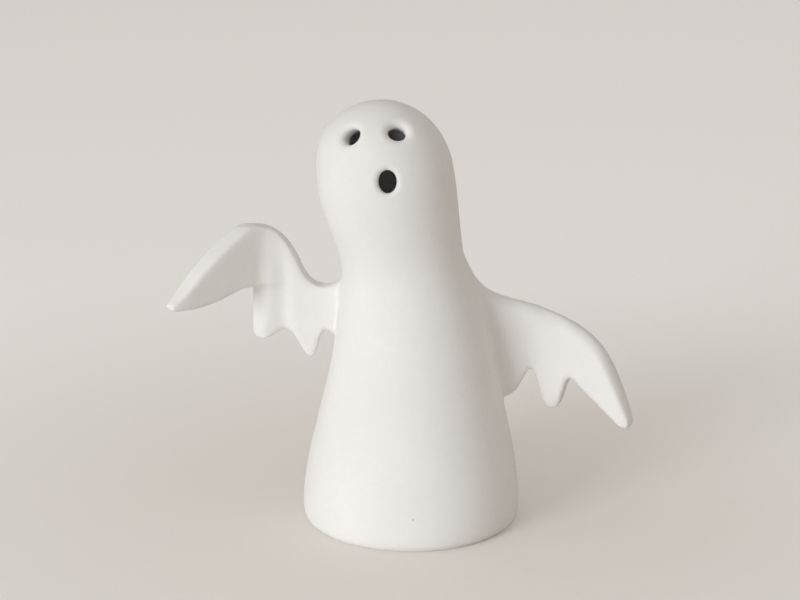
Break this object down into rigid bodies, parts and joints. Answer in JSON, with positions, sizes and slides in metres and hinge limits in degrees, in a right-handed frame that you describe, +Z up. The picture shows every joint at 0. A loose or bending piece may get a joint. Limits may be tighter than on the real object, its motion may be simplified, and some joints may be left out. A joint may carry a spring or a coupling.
{
  "type": "ceramic ghost figure",
  "caption": "Standing ghost figure in matte white ceramic: hollow cone body on an open hem, round leaning head with pierced eyes and mouth, a raised and a lowered arm with tattered sleeves.",
  "frame": {"origin": "centre of the foot ring, on the plane the figure stands on", "axes": "+Z up, the face looks along -Y, the lowered arm points along +X and the raised arm along -X"},
  "size_m": [0.1729, 0.0816, 0.1602],
  "materials": {
    "bisque": "matte unglazed white"
  },
  "bodies": {
    "root": {"body_shell": "bisque", "raised_arm": "bisque", "lowered_arm": "bisque"}
  },
  "joints": []
}
